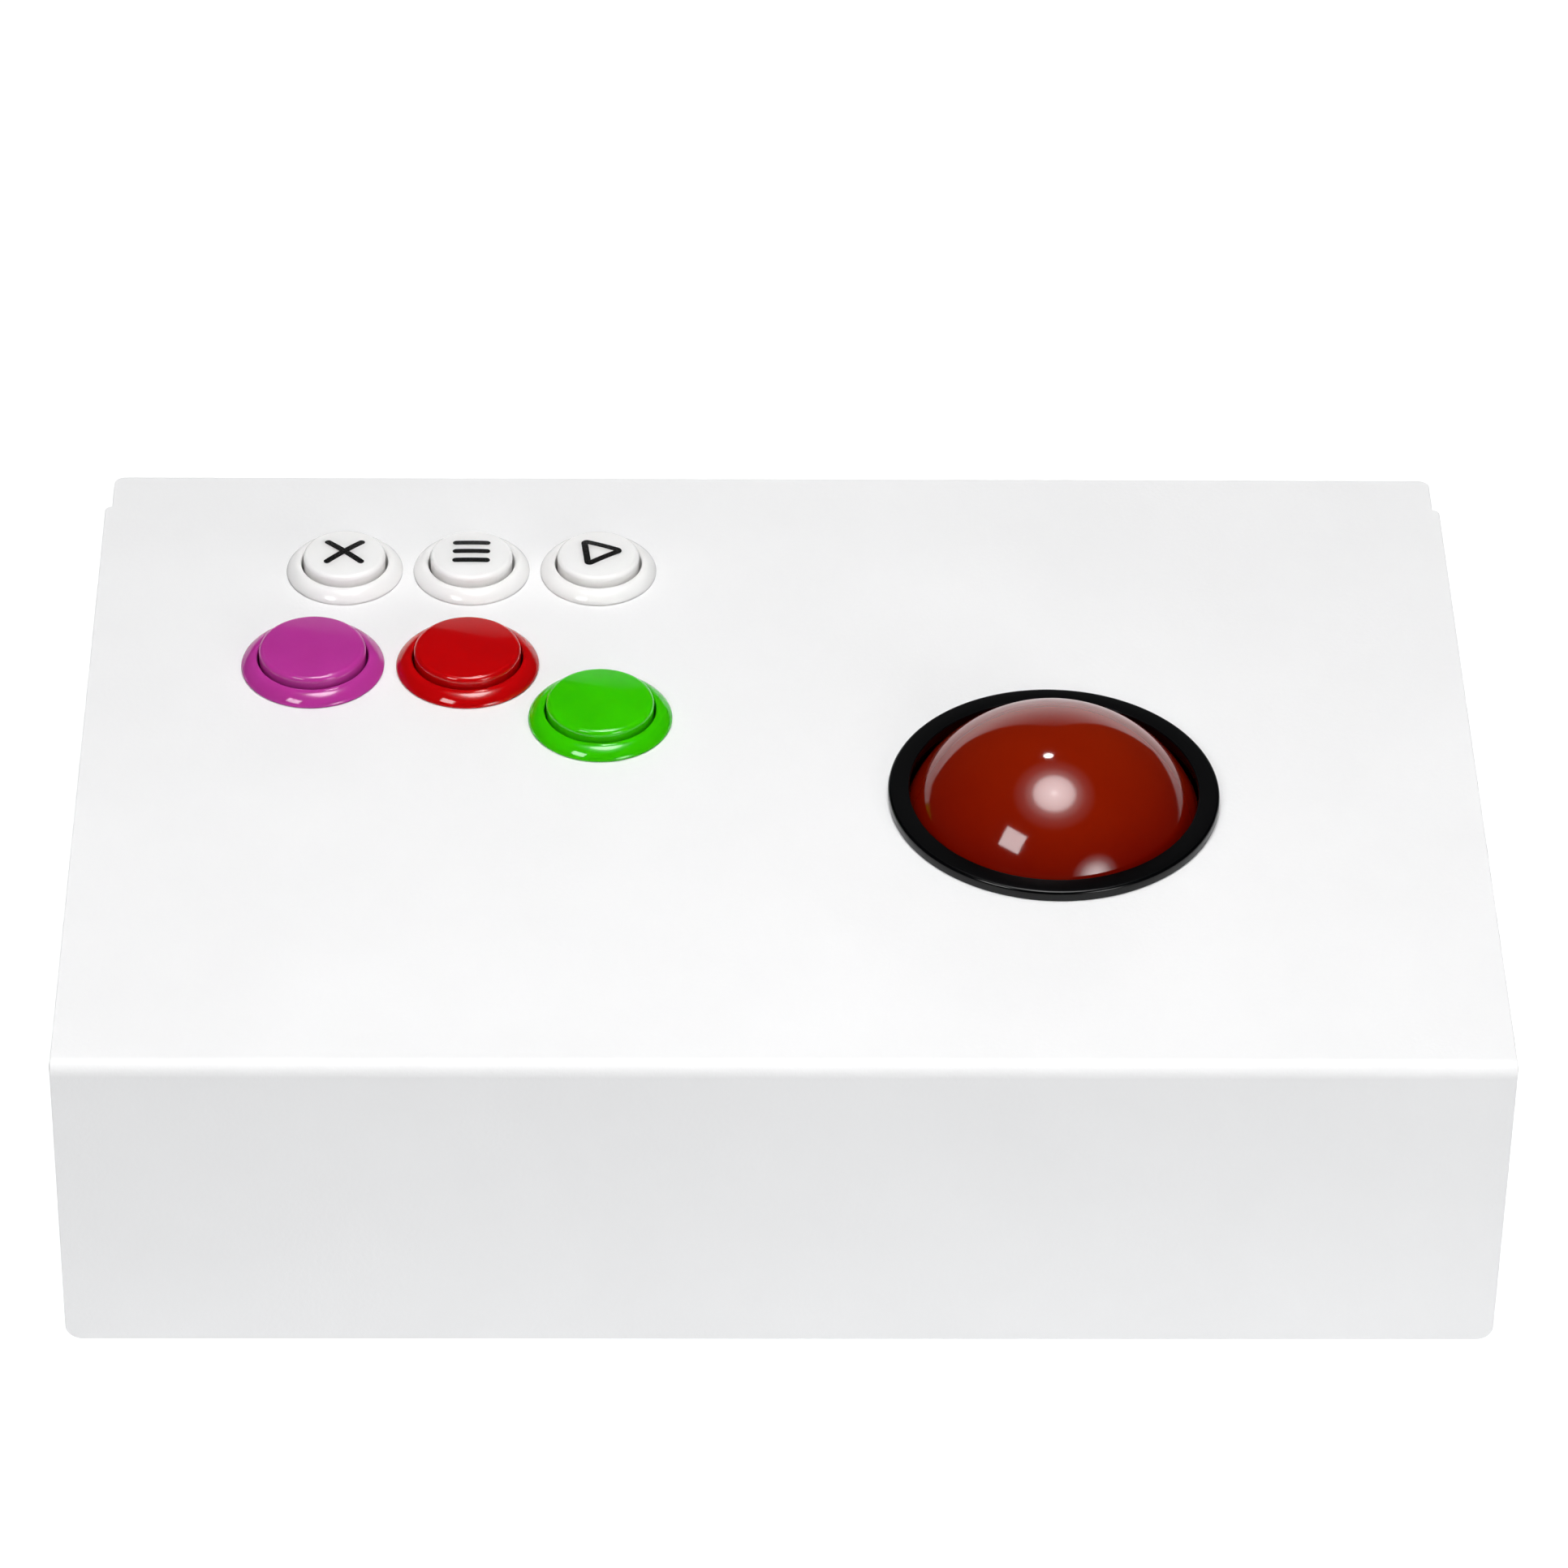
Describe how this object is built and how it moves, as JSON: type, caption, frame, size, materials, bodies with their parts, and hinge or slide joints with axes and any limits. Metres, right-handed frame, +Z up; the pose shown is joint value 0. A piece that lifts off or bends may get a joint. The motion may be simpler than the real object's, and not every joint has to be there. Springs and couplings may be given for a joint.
{
  "type": "arcade trackball control panel",
  "caption": "Sheet-metal arcade control box with a trackball in a retaining ring, snap-in push buttons and rubber feet; the buttons press and the ball turns its rollers.",
  "frame": {"origin": "on the surface the box stands on, under the middle of its plan", "axes": "+X to the right along the box's length, +Y to the rear, +Z up; the front flap faces -Y"},
  "size_m": [0.32, 0.2194, 0.1022],
  "materials": {
    "powder_coat": "satin white powder coat with a fine orange-peel grain",
    "purple_plastic": "glossy moulded plastic",
    "red_plastic": "glossy moulded plastic",
    "green_plastic": "glossy moulded plastic",
    "white_plastic": "glossy moulded plastic, warm white",
    "switch_plastic": "moulded, fine matte",
    "ball_resin": "polished cast resin",
    "ring_plastic": "satin black, polished outer edge",
    "unit_plastic": "moulded, fine matte",
    "roller_steel": "ground shaft",
    "bearing_steel": "polished races",
    "fastener_steel": "zinc plated",
    "wheel_plastic": "moulded, fine matte",
    "circuit_board": "solder-resist green, semi-matte",
    "socket_metal": "nickel-plated sheet",
    "foot_rubber": "matte moulded rubber",
    "wire_sleeve": "soft PVC"
  },
  "bodies": {
    "case": {"top_cover": "powder_coat", "left_side_wall": "powder_coat", "right_side_wall": "powder_coat", "rear_wall": "powder_coat", "base_plate": "powder_coat", "front_left_foot": "foot_rubber", "front_left_foot_screw": "fastener_steel", "front_left_stud_nut": "fastener_steel", "front_left_tray_screw": "fastener_steel", "front_right_foot": "foot_rubber", "front_right_foot_screw": "fastener_steel", "front_right_stud_nut": "fastener_steel", "front_right_tray_screw": "fastener_steel", "rear_left_foot": "foot_rubber", "rear_left_foot_screw": "fastener_steel", "rear_left_stud_nut": "fastener_steel", "rear_left_tray_screw": "fastener_steel", "rear_right_foot": "foot_rubber", "rear_right_foot_screw": "fastener_steel", "rear_right_stud_nut": "fastener_steel", "rear_right_tray_screw": "fastener_steel", "purple_button_housing": "purple_plastic", "purple_button_switch": "switch_plastic", "red_button_housing": "red_plastic", "red_button_switch": "switch_plastic", "green_button_housing": "green_plastic", "green_button_switch": "switch_plastic", "cancel_button_housing": "white_plastic", "cancel_button_switch": "switch_plastic", "menu_button_housing": "white_plastic", "menu_button_switch": "switch_plastic", "play_button_housing": "white_plastic", "play_button_switch": "switch_plastic", "trackball_ring": "ring_plastic", "trackball_shell": "unit_plastic", "trackball_tray": "unit_plastic", "x_roller_bearing_1": "bearing_steel", "x_roller_bearing_2": "bearing_steel", "y_roller_bearing_1": "bearing_steel", "y_roller_bearing_2": "bearing_steel", "idler_roller_bearing_1": "bearing_steel", "idler_roller_bearing_2": "bearing_steel", "x_sensor_board": "circuit_board", "y_sensor_board": "circuit_board", "controller_board": "circuit_board", "cable_socket": "socket_metal", "button_loom": "wire_sleeve", "trackball_loom": "wire_sleeve"},
    "purple_press": {"purple_button_plunger": "purple_plastic"},
    "red_press": {"red_button_plunger": "red_plastic"},
    "green_press": {"green_button_plunger": "green_plastic"},
    "cancel_press": {"cancel_button_plunger": "white_plastic"},
    "menu_press": {"menu_button_plunger": "white_plastic"},
    "play_press": {"play_button_plunger": "white_plastic"},
    "ball": {"trackball_ball": "ball_resin"},
    "x_shaft": {"x_roller": "roller_steel", "x_encoder_wheel": "wheel_plastic"},
    "y_shaft": {"y_roller": "roller_steel", "y_encoder_wheel": "wheel_plastic"},
    "idler_shaft": {"idler_roller": "roller_steel"}
  },
  "joints": [
    {"name": "purple_button_travel", "type": "slide", "parent": "case", "child": "purple_press", "axis": [0, 0, 1], "range_m": [-0.003, 0], "stiffness_N_per_m": 200, "springref_m": 0.0015},
    {"name": "red_button_travel", "type": "slide", "parent": "case", "child": "red_press", "axis": [0, 0, 1], "range_m": [-0.003, 0], "stiffness_N_per_m": 200, "springref_m": 0.0015},
    {"name": "green_button_travel", "type": "slide", "parent": "case", "child": "green_press", "axis": [0, 0, 1], "range_m": [-0.003, 0], "stiffness_N_per_m": 200, "springref_m": 0.0015},
    {"name": "cancel_button_travel", "type": "slide", "parent": "case", "child": "cancel_press", "axis": [0, 0, 1], "range_m": [-0.003, 0], "stiffness_N_per_m": 200, "springref_m": 0.0015},
    {"name": "menu_button_travel", "type": "slide", "parent": "case", "child": "menu_press", "axis": [0, 0, 1], "range_m": [-0.003, 0], "stiffness_N_per_m": 200, "springref_m": 0.0015},
    {"name": "play_button_travel", "type": "slide", "parent": "case", "child": "play_press", "axis": [0, 0, 1], "range_m": [-0.003, 0], "stiffness_N_per_m": 200, "springref_m": 0.0015},
    {"name": "ball_roll", "type": "hinge", "parent": "case", "child": "ball", "pos_m": [0.0625, -0.01445, 0.066], "axis": [0, 1, 0], "continuous": true},
    {"name": "x_roller_spin", "type": "hinge", "parent": "case", "child": "x_shaft", "pos_m": [0.03048, -0.01445, 0.03913], "axis": [0, 1, 0], "continuous": true},
    {"name": "y_roller_spin", "type": "hinge", "parent": "case", "child": "y_shaft", "pos_m": [0.0625, 0.01757, 0.03913], "axis": [1, 0, 0], "continuous": true},
    {"name": "idler_spin", "type": "hinge", "parent": "case", "child": "idler_shaft", "pos_m": [0.08514, -0.03709, 0.03913], "axis": [0.7071, 0.7071, 0], "continuous": true}
  ],
  "couplings": [
    {"joint": "x_roller_spin", "follows": "ball_roll", "ratio": -6.8302},
    {"joint": "idler_spin", "follows": "ball_roll", "ratio": -4.8297}
  ]
}
